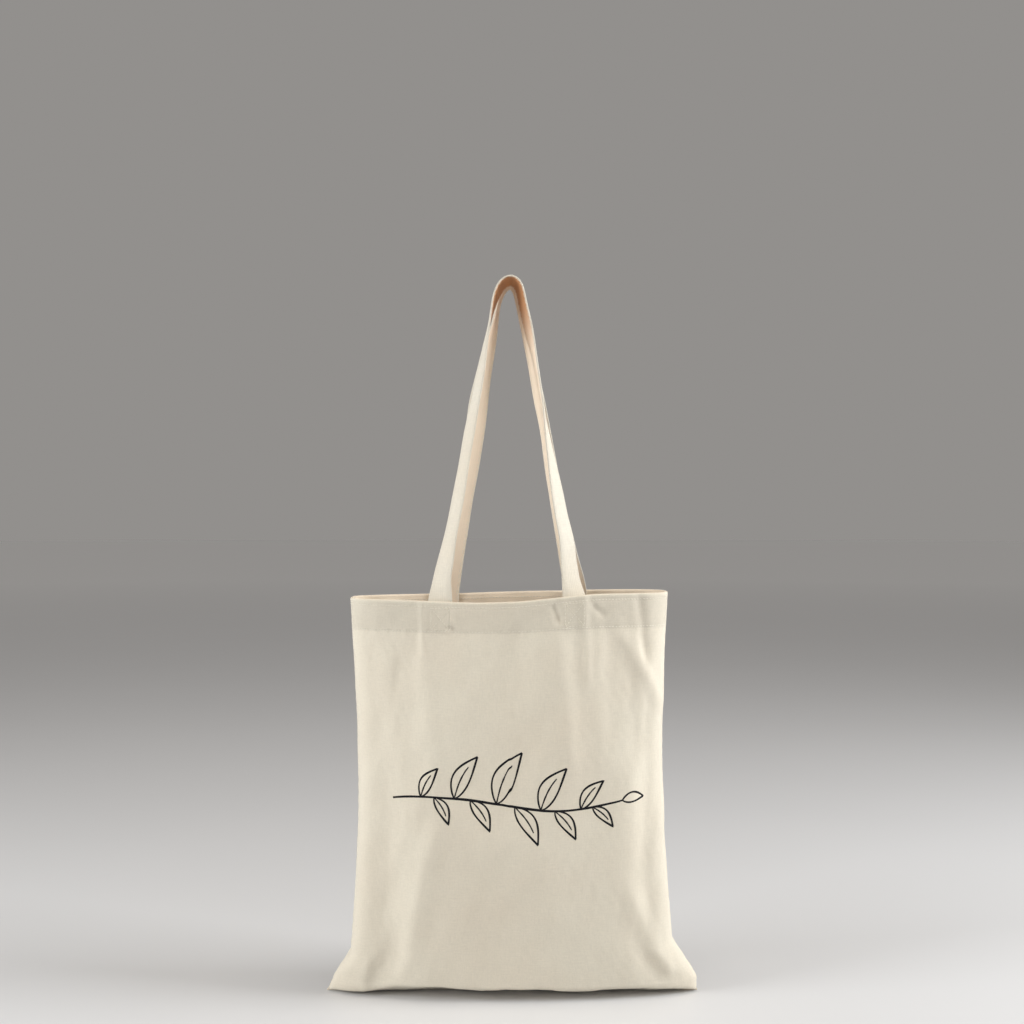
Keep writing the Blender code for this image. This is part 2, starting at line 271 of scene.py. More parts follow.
# Folds worked into each panel: where one starts and ends, as x and drop, its half width, its height, and
# how flat it runs across: 2 for a ridge or a crease, more for a flat-bottomed hollow.
FRONT_FOLDS = (
    (-0.1220, 0.030, -0.1300, 0.385, 0.0320, -0.0088, 2),
    (-0.0200, -0.08, -0.0170, 0.215, 0.0400, -0.0062, 4),
    (0.1110, 0.012, 0.1140, 0.150, 0.0180, -0.0030, 4),
    (0.1420, 0.120, 0.1380, 0.370, 0.0150, -0.0034, 2),
    (-0.0875, -0.01, -0.0860, 0.052, 0.0040, 0.0018, 2),
    (-0.0860, 0.025, -0.0700, 0.190, 0.0140, 0.0018, 2),
    (-0.0620, 0.0255, -0.0560, 0.0290, 0.0032, -0.0016, 2),
    (0.0450, 0.006, 0.0520, 0.024, 0.0042, -0.0024, 2),
    (0.0760, -0.01, 0.0790, 0.085, 0.0048, 0.0018, 2),
    (0.0840, 0.010, 0.0970, 0.020, 0.0032, -0.0015, 2),
    (0.1340, 0.000, 0.1400, 0.062, 0.0060, -0.0026, 2),
    (0.1120, 0.030, 0.1600, 0.106, 0.0090, 0.0028, 2),
    (0.0500, 0.030, 0.0620, 0.170, 0.0100, 0.0026, 2),
    (-0.0330, 0.036, -0.0250, 0.130, 0.0080, 0.0016, 2),
    (-0.1300, 0.040, -0.1140, 0.190, 0.0120, 0.0012, 2),
    (-0.0720, 0.220, -0.1120, 0.372, 0.0120, 0.0034, 2),
    (-0.1550, 0.400, -0.0900, 0.330, 0.0140, -0.0006, 2),
    (0.1180, 0.285, 0.1560, 0.368, 0.0110, 0.0028, 2),
    (0.1540, 0.392, 0.1050, 0.320, 0.0150, -0.0010, 2),
    (0.1560, 0.378, 0.1440, 0.352, 0.0080, 0.0022, 2),
    (-0.1500, 0.366, -0.1480, 0.402, 0.0060, 0.0014, 2),
    (0.0200, 0.230, 0.0420, 0.330, 0.0220, 0.0024, 2),
    (-0.0400, 0.270, -0.0200, 0.380, 0.0200, -0.0022, 2),
)
BACK_FOLDS = (
    (-0.0850, 0.000, -0.0900, 0.090, 0.0055, 0.0018, 2),
    (-0.0500, 0.012, -0.0460, 0.042, 0.0055, -0.0009, 2),
    (0.0520, 0.030, 0.0480, 0.120, 0.0060, 0.0018, 2),
    (0.0830, 0.016, 0.0850, 0.036, 0.0030, -0.0018, 2),
    (0.0900, 0.040, 0.1080, 0.200, 0.0130, 0.0040, 2),
    (-0.1350, 0.010, -0.1180, 0.150, 0.0110, -0.0038, 2),
    (-0.1120, 0.060, -0.0900, 0.230, 0.0140, 0.0036, 2),
    (0.0000, -0.08, 0.0080, 0.200, 0.0420, 0.0040, 4),
    (0.0240, 0.050, 0.0300, 0.190, 0.0080, -0.0018, 2),
    (0.1420, 0.150, 0.1180, 0.350, 0.0200, -0.0050, 2),
    (-0.1480, 0.400, -0.0880, 0.290, 0.0130, -0.0038, 2),
    (0.1500, 0.392, 0.0880, 0.300, 0.0130, -0.0036, 2),
    (-0.0600, 0.260, -0.0300, 0.370, 0.0200, 0.0024, 2),
)


def folded(x, drop, folds):
    """Height of the folds at a point of the flat pattern."""
    total = np.zeros_like(x)
    for x0, drop0, x1, drop1, width, height, flatness in folds:
        run = np.array([x1 - x0, drop1 - drop0])
        length = np.linalg.norm(run)
        run = run / length
        along = (x - x0) * run[0] + (drop - drop0) * run[1]
        off = np.abs((x - x0) * run[1] - (drop - drop0) * run[0])
        fade = min(0.4 * length, 0.07)
        ends = ease((along + fade / 2) / fade) * ease((length + fade / 2 - along) / fade)
        total += height * ends * np.exp(-((off / width) ** flatness))
    return total


def unevenness(x, drop, side):
    """Long shallow ripples, and shorter fainter ones, as in any cloth that hangs."""
    rng = np.random.default_rng(7 if side == FRONT else 11)
    total = np.zeros_like(x)
    for count, height, short, long in ((14, 0.00016, 0.030, 0.085), (18, 0.000022, 0.009, 0.024)):
        for _ in range(count):
            heading = rng.normal(math.pi / 2, 0.6)
            wave = 2 * math.pi / rng.uniform(short, long)
            phase = rng.uniform(0, 2 * math.pi)
            total += height * np.sin((x * math.sin(heading) + drop * math.cos(heading)) * wave + phase)
    return total


def strap_pads(x, drop, side):
    """The cloth stands proud where a strap's end is sewn behind it."""
    pads = np.zeros_like(x)
    for foot in FEET[side]:
        off = np.abs(x - (foot - MOUTH_SWAY)) - STRAP_WIDTH / 2
        pads += ease(0.5 - off / 0.0070) * ease((HEM_DEPTH - drop) / 0.006 + 0.4)
    return PAD_HEIGHT * pads


def relief(side, share, drop):
    """How far the outer face stands in or out of its plain shape. Both panels keep one line at a seam."""
    x = flat_x(share)
    height = folded(x, drop, FRONT_FOLDS if side == FRONT else BACK_FOLDS)
    height += unevenness(x, drop, side) * ease(drop / 0.02 + 0.3)
    height += strap_pads(x, drop, side)
    height += HEM_PROUD * ease((HEM_DEPTH - drop) / 0.003)
    for row in (EDGE_STITCH_DROP, HEM_STITCH_DROP):
        height -= STITCH_DIP * bump(drop, row, 0.0012)
    roping = np.sin(x * 2 * math.pi / ROPING_PITCH + drop * 300 + 1.5 * np.sin(x * 70))
    height += ROPING_HEIGHT * roping * bump(drop, HEM_STITCH_DROP, 0.008)
    from_seam = np.minimum(share, 1 - share) * FLAT_WIDTH
    height *= ease(from_seam / SEAM_FADE)
    puckers = np.sin(drop * 2 * math.pi / PUCKER_PITCH + 2.0 * np.sin(drop * 45))
    height -= (SEAM_DIP + PUCKER_HEIGHT * puckers) * bump(from_seam, 0, 0.003)
    height += PUCKER_HEIGHT * puckers * bump(from_seam, 0, 0.009)
    from_base = PANEL_LENGTH - drop
    height -= 0.0004 * bump(from_base, 0, 0.003)
    return height * ease(from_base / 0.006 + 0.1)


def cloth_face(side, share, drop):
    """The finished outer face of a panel."""
    outward, _ = facing(plain, side, share, drop)
    made = plain(side, share, drop) + outward * relief(side, share, drop)[..., None]
    made[..., 1] = side * np.maximum(side * made[..., 1], SEAM_GAP)
    return made


def on_cloth(side, share, drop, lift=0.0):
    """Points at a distance out from a panel's face, with the outward direction there."""
    share, drop = np.broadcast_arrays(np.asarray(share, float), np.asarray(drop, float))
    outward, _ = facing(cloth_face, side, share, drop)
    return cloth_face(side, share, drop) + outward * lift, outward


# -------------------------------------------------- making meshes

FACING_STEP = 0.0006


def link(name, mesh, material):
    mesh.materials.clear()
    mesh.materials.append(material)
    made = bpy.data.objects.new(name, mesh)
    bpy.context.scene.collection.objects.link(made)
    return made


def to_mesh(bm, name):
    mesh = bpy.data.meshes.new(name)
    bm.to_mesh(mesh)
    bm.free()
    mesh.shade_smooth()
    return mesh


def flat_grid(width, length, columns, rows):
    """A flat grid with one corner at the origin, and a UV map that is its pattern in metres."""
    bm = bmesh.new()
    for tone in ("doubled", "inward"):
        bm.verts.layers.float.new(tone)
    bmesh.ops.create_grid(bm, x_segments=columns, y_segments=rows, size=0.5)
    shift = Matrix.Diagonal((width, length, 1, 1)) @ Matrix.Translation((0.5, 0.5, 0))
    bmesh.ops.transform(bm, matrix=shift, verts=bm.verts)
    bm.loops.layers.uv.new("pattern")
    set_pattern(bm, coords(bm.verts)[:, :2])
    return bm


def put(verts, points):
    for vert, point in zip(verts, points):
        vert.co = point


def coords(verts):
    return np.array([vert.co for vert in verts])


def set_pattern(bm, flat):
    """Lays each point of a sheet at its place on the flat pattern."""
    pattern = bm.loops.layers.uv["pattern"]
    flat_at = dict(zip(bm.verts, flat))
    for face in bm.faces:
        for loop in face.loops:
            loop[pattern].uv = flat_at[loop.vert]


def back_face(bm, points):
    """Extrudes a whole sheet, and puts the copy of each of its points at its place on the back."""
    table = {tuple(np.round(point, 7)): index for index, point in enumerate(coords(bm.verts))}
    extruded = bmesh.ops.extrude_face_region(bm, geom=bm.faces[:])
    copies = [item for item in extruded["geom"] if isinstance(item, bmesh.types.BMVert)]
    order = [table[tuple(np.round(point, 7))] for point in coords(copies)]
    put(copies, points[order])
    return copies


def turn_outward(bm):
    """Turns the faces of a closed shape outward."""
    bmesh.ops.recalc_face_normals(bm, faces=bm.faces)
    if bm.calc_volume(signed=True) < 0:
        bmesh.ops.reverse_faces(bm, faces=bm.faces[:])


def sheet(name, width, length, columns, rows, place, thickness, material, tones=None):
    """A closed sheet of cloth. place(x, y) puts the points of its flat pattern on its outer face, and
    tones(y) says how far each one is on doubled cloth and how far it faces into the bag."""
    bm = flat_grid(width, length, columns, rows)
    bm.verts.ensure_lookup_table()
    flat = coords(bm.verts)
    doubled, inward = (bm.verts.layers.float[tone] for tone in ("doubled", "inward"))
    if tones:
        for vert, hem_shade, within in zip(bm.verts, *tones(flat[:, 1])):
            vert[doubled] = hem_shade
            vert[inward] = within
    points = place(flat[:, 0], flat[:, 1])
    put(bm.verts, points)
    step = FACING_STEP
    right = place(np.clip(flat[:, 0] + step, 0, width), flat[:, 1])
    left = place(np.clip(flat[:, 0] - step, 0, width), flat[:, 1])
    above = place(flat[:, 0], np.clip(flat[:, 1] + step, 0, length))
    below = place(flat[:, 0], np.clip(flat[:, 1] - step, 0, length))
    outward = unit(np.cross(above - below, right - left))
    # The back face is marked inward, which the canvas lightens with painted warm bounce light.
    for vert in back_face(bm, points - outward * thickness):
        vert[inward] = 1.0
    turn_outward(bm)
    return link(name, to_mesh(bm, name), material)


def stitch_shape(length, width, height):
    """One stitch: a short rounded length of thread, pulled down at both ends."""
    bm = bmesh.new()
    bmesh.ops.create_uvsphere(bm, u_segments=6, v_segments=5, radius=0.5)
    bmesh.ops.rotate(bm, matrix=Matrix.Rotation(math.pi / 2, 3, "Y"), verts=bm.verts)
    for vert in bm.verts:
        spread = 1 - (2 * vert.co.x) ** 4
        vert.co.z -= 0.35 * (1 - spread)
    bmesh.ops.transform(bm, matrix=Matrix.Diagonal((length, width, height, 1)), verts=bm.verts)
    return to_mesh(bm, "one_stitch")


def stitches(name, points, outward, along, shape, material):
    """A row of stitches, each one lying along the row with its top outward."""
    bm = bmesh.new()
    size = len(shape.vertices)
    for point, up, ahead in zip(points, outward, along):
        ahead = Vector(ahead).normalized()
        across = Vector(up).cross(ahead).normalized()
        up = ahead.cross(across)
        turn = Matrix((ahead, across, up)).transposed().to_4x4()
        bm.from_mesh(shape)
        bm.verts.ensure_lookup_table()
        bmesh.ops.transform(bm, matrix=Matrix.Translation(point) @ turn, verts=bm.verts[-size:])
    return link(name, to_mesh(bm, name), material)


def evenly(points, spacing):
    """Points at equal spacing along a path through the given ones, in whatever space they are in."""
    run = run_along(points)
    count = max(int(round(run[-1] / spacing)), 2)
    return read_at(points, run, (np.arange(count) + 0.5) * run[-1] / count)


def sewn_on_cloth(name, side, path, settings, lift, material):
    """A row of stitches along a path of the flat pattern, given as x and drop."""
    at = evenly(np.array(path, float), settings.stitch_pitch)
    ahead = np.gradient(at, axis=0)
    share, drop = at[:, 0] / FLAT_WIDTH + 0.5, at[:, 1]
    points, outward = on_cloth(side, share, drop, lift)
    step = ahead * 0.02
    far, _ = on_cloth(side, share + step[:, 0] / FLAT_WIDTH, drop + step[:, 1], lift)
    shape = stitch_shape(settings.stitch_length, settings.thread_width, settings.thread_width)
    if lift < 0:
        outward = -outward
    return stitches(name, points, outward, far - points, shape, material)


# -------------------------------------------------- settings


def color_setting(name, description, default):
    return bpy.props.FloatVectorProperty(
        name=name, description=description, subtype="COLOR", default=default
    )


def length_setting(name, description, default):
    return bpy.props.FloatProperty(name=name, description=description, unit="LENGTH", default=default)


class ToteSettings(bpy.types.PropertyGroup):
    """Sizes and colours that a user would change."""

    canvas_color: color_setting("Canvas", "Main colour of the panels", (0.79, 0.73, 0.605))
    canvas_deep_color: color_setting("Canvas clouding", "Deeper tone in the cloth", (0.765, 0.69, 0.565))
    # Painted light: inner faces are brighter and warmer, standing in for light bounced about inside the bag.
    inside_bounce_light_color: color_setting("Inside", "Painted warm bounce light on the cloth's inner face", (0.94, 0.82, 0.66))
    strap_color: color_setting("Strap", "Main colour of the straps", (0.775, 0.73, 0.63))
    # Painted shade: a dark tan laid on the straps' undersides, deepest under the front strap's crown.
    strap_underside_shade_color: color_setting("Painted strap shade", "Painted shade under the straps, deepest at the crown", (0.44, 0.19, 0.06))
    thread_color: color_setting("Thread", "Colour of the sewing thread", (0.82, 0.765, 0.65))
    ink_color: color_setting("Ink", "Colour of the printed sprig", (0.012, 0.012, 0.014))
    weave_pitch: length_setting("Weave pitch", "Distance from thread to thread", 0.0009)
    stitch_pitch: length_setting("Stitch pitch", "Distance from stitch to stitch", 0.0034)
    stitch_length: length_setting("Stitch length", "Length of one stitch", 0.0029)
    thread_width: length_setting("Thread width", "Width of the sewing thread", 0.0007)
    ink_width: length_setting("Line width", "Width of the printed line", 0.0025)


# -------------------------------------------------- materials


class Nodes:
    """Adds nodes to a material in few words."""

    def __init__(self, name):
        self.material = bpy.data.materials.new(name)
        self.material.use_nodes = True
        self.tree = self.material.node_tree
        self.shader = self.tree.nodes["Principled BSDF"]

    def add(self, kind, inputs=None, **settings):
        node = self.tree.nodes.new(kind)
        for key, value in settings.items():
            setattr(node, key, value)
        for key, value in (inputs or {}).items():
            self.feed(node.inputs[key], value)
        return node

    def feed(self, socket, value):
        if isinstance(value, bpy.types.NodeSocket):
            self.tree.links.new(value, socket)
        else:
            socket.default_value = value

    def math(self, operation, *values, clamp=False):
        node = self.add("ShaderNodeMath", operation=operation, use_clamp=clamp)
        for socket, value in zip(node.inputs, values):
            self.feed(socket, value)
        return node.outputs[0]

    def blend_color(self, factor, first, second, kind="MIX"):
        node = self.add("ShaderNodeMix", data_type="RGBA", blend_type=kind)
        self.feed(node.inputs[0], factor)
        self.feed(node.inputs[6], first)
        self.feed(node.inputs[7], second)
        return node.outputs[2]

    def stretch(self, vector, scale):
        return self.add("ShaderNodeMapping", {"Vector": vector, "Scale": scale}).outputs[0]

    def noise(self, vector, scale, detail=3.0, roughness=0.5):
        inputs = {"Vector": vector, "Scale": scale, "Detail": detail, "Roughness": roughness}
        return self.add("ShaderNodeTexNoise", inputs).outputs[0]

    def remap(self, value, low, high, to_low=0.0, to_high=1.0):
        inputs = {0: value, 1: low, 2: high, 3: to_low, 4: to_high}
        return self.add("ShaderNodeMapRange", inputs).outputs[0]

    def darken(self, color, share):
        """The colour times a share."""
        gray = self.add("ShaderNodeCombineColor", {0: share, 1: share, 2: share}).outputs[0]
        return self.blend_color(1.0, color, gray, "MULTIPLY")

    def attribute(self, name):
        return self.add("ShaderNodeAttribute", attribute_name=name).outputs[2]

    def bump_with(self, height, strength, distance):
        bumped = self.add("ShaderNodeBump", {"Height": height, "Strength": strength, "Distance": distance})
        self.feed(self.shader.inputs["Normal"], bumped.outputs[0])


def woven(nodes, pitch):
    """Plain weave on the cloth's own pattern. Gives the pattern, the weave's height, and its slubs."""
    pattern = nodes.add("ShaderNodeUVMap", uv_map="pattern").outputs[0]
    wander = nodes.noise(pattern, 90.0, 2.0)
    split = nodes.add("ShaderNodeSeparateXYZ", {0: pattern})
    turns = math.pi / pitch
    drift = nodes.math("MULTIPLY", wander, 1.6)
    warp = nodes.math("SINE", nodes.math("ADD", nodes.math("MULTIPLY", split.outputs[0], turns), drift))
    weft = nodes.math("SINE", nodes.math("ADD", nodes.math("MULTIPLY", split.outputs[1], turns), drift))
    crossing = nodes.math("MULTIPLY", warp, weft)
    height = nodes.math("ABSOLUTE", crossing)
    slub_up = nodes.noise(nodes.stretch(pattern, (1300.0, 95.0, 1.0)), 1.0, 3.0)
    slub_across = nodes.noise(nodes.stretch(pattern, (80.0, 1200.0, 1.0)), 1.0, 3.0)
    slubs = nodes.math("ADD", slub_up, slub_across)
    return pattern, height, slubs


def canvas(name, settings, color, deep_color, pitch, with_painted_shade=False):
    """Undyed cotton canvas: slubby plain weave, faint clouding, a few seed flecks and a soft nap, with
    painted shade on doubled cloth and strap undersides and painted warm bounce light on inner faces.
    """
    nodes = Nodes(name)
    pattern, height, slubs = woven(nodes, pitch)
    clouds = nodes.noise(pattern, 9.0, 3.0, 0.55)
    tone = nodes.blend_color(nodes.remap(clouds, 0.3, 0.7), (*color, 1), (*deep_color, 1))
    streak = nodes.remap(slubs, 0.70, 1.30, 0.955, 1.035)
    grain = nodes.remap(height, 0.0, 1.0, 0.94, 1.02)
    tone = nodes.darken(tone, nodes.math("MULTIPLY", streak, grain))
    flecks = nodes.add("ShaderNodeTexVoronoi", {"Vector": pattern, "Scale": 42.0, "Randomness": 1.0})
    chosen = nodes.add("ShaderNodeSeparateColor", {0: flecks.outputs[1]}).outputs[0]
    near = nodes.remap(flecks.outputs[0], 0.012, 0.030, 1.0, 0.0)
    seen = nodes.math("MULTIPLY", near, nodes.math("GREATER_THAN", chosen, 0.80))
    tone = nodes.blend_color(nodes.math("MULTIPLY", seen, 0.55), tone, (0.30, 0.21, 0.13, 1))
    mottle = nodes.remap(nodes.noise(pattern, 420.0, 4.0, 0.7), 0.3, 0.7, 0.958, 1.028)
    # Painted shade: doubled cloth is darkened, standing in for the light that a single layer lets through
    # from inside.
    hem_shade = nodes.remap(nodes.attribute("doubled"), 0.0, 1.0, 1.0, 0.895)
    tone = nodes.darken(tone, nodes.math("MULTIPLY", mottle, hem_shade))
    # Painted light: faces marked inward are lightened and warmed, standing in for bounced light inside the
    # bag.
    tone = nodes.blend_color(nodes.attribute("inward"), tone, (*settings.inside_bounce_light_color, 1))
    # Painted shade: the straps' undersides are mixed towards a dark tan, most under the crown.
    if with_painted_shade:
        tone = nodes.blend_color(nodes.attribute("painted_shade"), tone, (*settings.strap_underside_shade_color, 1))
    nodes.feed(nodes.shader.inputs["Base Color"], tone)
    nodes.feed(nodes.shader.inputs["Roughness"], nodes.remap(slubs, 0.6, 1.4, 0.82, 0.96))
    nodes.shader.inputs["Sheen Weight"].default_value = 0.18
    nodes.shader.inputs["Sheen Roughness"].default_value = 0.55
    nodes.shader.inputs["Specular IOR Level"].default_value = 0.25
    thread_height = nodes.math("MULTIPLY", height, 0.7)
    slub_height = nodes.math("MULTIPLY", slubs, 0.6)
    raised = nodes.math("ADD", thread_height, slub_height)
    nodes.bump_with(raised, 0.55, 0.00035)
    return nodes.material


def thread_material(settings):
    """Twisted sewing thread."""
    nodes = Nodes("thread")
    place = nodes.add("ShaderNodeTexCoord").outputs["Object"]
    ply = nodes.noise(nodes.stretch(place, (2600.0, 2600.0, 900.0)), 1.0, 1.0)
    color = (*settings.thread_color, 1)
    shaded = tuple(0.80 * part for part in settings.thread_color)
    nodes.feed(nodes.shader.inputs["Base Color"], nodes.blend_color(ply, (*shaded, 1), color))
    nodes.shader.inputs["Roughness"].default_value = 0.62
    nodes.shader.inputs["Sheen Weight"].default_value = 0.12
    nodes.bump_with(ply, 0.4, 0.0001)
    return nodes.material


def ink_material(settings):
    """Flat black print that has soaked into the weave, thinner on the crests of the threads."""
    nodes = Nodes("ink")
    _, height, slubs = woven(nodes, settings.weave_pitch)
    worn = nodes.remap(slubs, 1.20, 1.45, 0.0, 0.18)
    gray = (0.16, 0.15, 0.14, 1)
    nodes.feed(nodes.shader.inputs["Base Color"], nodes.blend_color(worn, (*settings.ink_color, 1), gray))
    nodes.feed(nodes.shader.inputs["Roughness"], nodes.remap(height, 0.0, 1.0, 0.90, 0.80))
    nodes.shader.inputs["Specular IOR Level"].default_value = 0.15
    nodes.bump_with(height, 0.4, 0.0002)
    return nodes.material


MADE = {}


def cloth_material(key):
    """The object's materials, each made once from the settings."""
    settings = bpy.context.scene.tote_bag
    deep = settings.canvas_deep_color
    pitch = settings.weave_pitch
    makers = {
        "canvas": lambda: canvas("canvas", settings, settings.canvas_color, deep, pitch),
        "strap": lambda: canvas("strap", settings, settings.strap_color, deep, pitch * 0.8, True),
        "thread": lambda: thread_material(settings),
        "ink": lambda: ink_material(settings),
    }
    if key not in MADE:
        MADE[key] = makers[key]()
    return MADE[key]


# -------------------------------------------------- panels

PANEL_COLUMNS = 200
PANEL_ROWS = 240
FOLD_LENGTH = math.pi * FOLD_RADIUS


def panel_place(side):
    """Puts a panel's pattern in place: down the inside of the hem, over the fold, and down the outside."""
    start = HEM_DEPTH + FOLD_LENGTH

    def place(x, y):
        share = x / FLAT_WIDTH
        path = y - start
        outside = np.clip(path, 0, PANEL_LENGTH)
        drop = np.where(path > 0, outside, np.clip(-path - FOLD_LENGTH, 0, HEM_DEPTH))
        face = cloth_face(side, share, drop)
        outward, down = facing(cloth_face, side, share, drop, 0.002)
        over = np.clip(-path / FOLD_RADIUS, 0, math.pi)[:, None]
        shifted = face - outward * FOLD_RADIUS * (1 - np.cos(over)) - down * FOLD_RADIUS * np.sin(over)
        placed = np.where(path[:, None] > 0, face, shifted)
        placed[:, 1] = side * np.maximum(side * placed[:, 1], SEAM_GAP)
        return placed

    return place


def panel_tones(y):
    """The hem is doubled down to its stitched line, and its turned-in part faces into the bag. The canvas
    darkens the doubled part with painted shade and lightens the turned-in part with painted warm bounce
    light.
    """
    drop = y - HEM_DEPTH - FOLD_LENGTH
    return ease(drop / 0.002) * ease((HEM_DEPTH - drop) / 0.003), ease(-drop / 0.002)


def build_panel(label, side):
    length = HEM_DEPTH + FOLD_LENGTH + PANEL_LENGTH
    mirrored = panel_place(side)
    place = mirrored if side == FRONT else lambda x, y: mirrored(FLAT_WIDTH - x, y)
    size = (FLAT_WIDTH, length, PANEL_COLUMNS, PANEL_ROWS)
    panel = sheet(f"{label}_panel_cloth", *size, place, CLOTH, cloth_material("canvas"), panel_tones)
    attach(panel, "bag")
    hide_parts(f"{label}_panel", f"{label}_hem")


class TOTE_OT_panels(bpy.types.Operator):
    """Make the front and back panels with their turned-in hems"""

    bl_idname = "tote.panels"
    bl_label = "Panels"

    def execute(self, context):
        for label, side in SIDES:
            build_panel(label, side)
        return {"FINISHED"}


# -------------------------------------------------- straps

# The loop's centre line as x and rise above the mouth, from the left foot over the crown.
FRONT_ROUTE = (
    (-0.0705, 0.020), (-0.0666, 0.040), (-0.0628, 0.060), (-0.0551, 0.099), (-0.0446, 0.160),
    (-0.0344, 0.214), (-0.0252, 0.267), (-0.0200, 0.2935), (-0.0158, 0.3085), (-0.0096, 0.3192),
    (-0.0020, 0.3236), (0.0050, 0.3204), (0.0092, 0.3105), (0.0118, 0.2965), (0.0186, 0.267),
    (0.0260, 0.230), (0.0365, 0.160), (0.0485, 0.089), (0.0547, 0.060), (0.0572, 0.037),
    (0.0602, 0.014),
)
BACK_ROUTE = (
    (-0.0628, 0.040), (-0.0550, 0.084), (-0.0440, 0.141), (-0.0389, 0.170), (-0.0346, 0.204),
    (-0.0290, 0.235), (-0.0230, 0.262), (-0.0186, 0.2820), (-0.0148, 0.3030), (-0.0095, 0.3165),
    (-0.0022, 0.3236), (0.0036, 0.3170), (0.0066, 0.3050), (0.0104, 0.2900), (0.0170, 0.265),
    (0.0262, 0.215), (0.0350, 0.172), (0.0447, 0.114), (0.0552, 0.064), (0.0605, 0.036),
    (0.0655, 0.014),
)
# How far the left leg, then the right leg, has turned from facing out, as rise and degrees.
FRONT_TURNS = (
    (
        (0, 0), (0.004, 20), (0.012, 38), (0.02, 45), (0.04, 52), (0.06, 59), (0.10, 62), (0.21, 68),
        (0.27, 82), (0.295, 98), (0.315, 106), (0.327, 106),
    ),
    (
        (0, 0), (0.004, 20), (0.012, 38), (0.02, 46), (0.04, 52), (0.06, 54), (0.09, 60), (0.13, 67),
        (0.16, 79), (0.18, 88), (0.24, 98), (0.285, 111), (0.327, 106),
    ),
)
BACK_TURNS = (
    (
        (0, 0), (0.03, 16), (0.10, 34), (0.20, 40), (0.24, 57), (0.267, 70), (0.300, 84), (0.327, 86),
    ),
    (
        (0, 0), (0.008, 22), (0.03, 35), (0.08, 54), (0.14, 64), (0.20, 68), (0.26, 70), (0.30, 80),
        (0.327, 86),
    ),
)
STRAP_STATION = 0.0022
STRAP_ROUND = 28
CROWN_OFFSET = 0.014
STRAP_LEAN = 0.055
LEAD_RISE = 0.035
FOOT_RISE = 0.08
EDGE_ROW = 0.78
BLEND_BELOW = 0.001
BLEND_ABOVE = 0.010
CUPPING = 0.0009
ROW_DIP = 0.00025
WAVER = 0.00025


def smooth_curve(points, spacing):
    """A Catmull-Rom curve through the points, read at equal spacing."""
    points = np.array(points, float)
    padded = np.vstack([2 * points[0] - points[1], points, 2 * points[-1] - points[-2]])
    dense = []
    t = np.linspace(0, 1, 24, endpoint=False)[:, None]
    for a, b, c, d in zip(padded, padded[1:], padded[2:], padded[3:]):
        squared = (2 * a - 5 * b + 4 * c - d) * t**2
        cubed = (3 * b - a - 3 * c + d) * t**3
        dense.append(0.5 * (2 * b + (c - a) * t + squared + cubed))
    dense = np.vstack([*dense, points[-1:]])
    run = run_along(dense)
    return read_at(dense, run, np.linspace(0, run[-1], int(run[-1] / spacing) + 1))


def soften(values, reach_stations):
    """Evens out a run of values along the strap."""
    offsets = np.arange(-3 * reach_stations, 3 * reach_stations + 1)
    kernel = np.exp(-((offsets / reach_stations) ** 2))
    kernel /= kernel.sum()
    padded = np.pad(values, ((len(offsets) // 2,) * 2, (0, 0)), mode="edge")
    evened = [np.convolve(padded[:, k], kernel, mode="valid") for k in range(values.shape[1])]
    return np.stack(evened, axis=1)


def tab_points(side, foot, drops):
    """The strap's centre where it lies sewn inside the hem."""
    share = np.full(len(drops), (foot - MOUTH_SWAY) / FLAT_WIDTH + 0.5)
    base = plain(side, share, np.array(drops, float))
    base[:, 0] = foot
    outward, _ = facing(plain, side, share, np.array(drops, float))
    return base - outward * (STRAP_INSET + STRAP_THICKNESS / 2)


def strap_line(side):
    """The strap's centre line with its directions across and outward, from its left end to its right end."""
    route = FRONT_ROUTE if side == FRONT else BACK_ROUTE
    drops = (HEM_DEPTH - 0.004, 0.020, 0.010, 0.001)
    left, right = (tab_points(side, foot, drops) for foot in FEET[side])
    right = right[::-1]
    feet_y = side * (abs(left[-1, 1]) + abs(right[0, 1])) / 2
    top = max(rise for _, rise in route)
    loop = [(x, mix(feet_y, side * CROWN_OFFSET, rise / top), MOUTH + rise) for x, rise in route]
    line = smooth_curve(np.vstack([left, loop, right]), STRAP_STATION)
    line = soften(line, 3)
    along = unit(np.gradient(line, axis=0))
    rise = line[:, 2] - MOUTH
    middle = int(np.argmax(line[:, 2]))
    inward = unit(np.stack([along[:, 2], np.zeros(len(line)), -along[:, 0]], axis=1))
    level = np.zeros_like(inward)
    level[:, 0] = np.where(np.arange(len(line)) < middle, 1.0, -1.0)
    level[:, 1] = side * STRAP_LEAN
    lead = ease(rise / LEAD_RISE)[:, None]
    inward = unit(mix(unit(level), inward, lead))
    deep = unit(np.cross(along, inward))
    turns = FRONT_TURNS if side == FRONT else BACK_TURNS
    degrees = [np.interp(rise, *zip(*table)) for table in turns]
    turn = np.radians(np.where(np.arange(len(line)) < middle, degrees[0], degrees[1]))
    turn = soften(turn[:, None], 6)
    line[:, 1] -= side * STRAP_WIDTH / 2 * np.sin(turn[:, 0]) * ease(1 - rise / FOOT_RISE)
    across = inward * np.cos(turn) + deep * side * np.sin(turn)
    outward = deep * side * np.cos(turn) - inward * np.sin(turn)
    return line, unit(across), unit(outward), rise


def strap_profile(around):
    """A strap's section: across from -1 to 1, and out from -1 to 1, with full round edges."""
    angle = around * 2 * math.pi
    across = np.sign(np.cos(angle)) * np.abs(np.cos(angle)) ** 0.45
    out = np.sign(np.sin(angle)) * np.abs(np.sin(angle)) ** 0.40
    return across, out


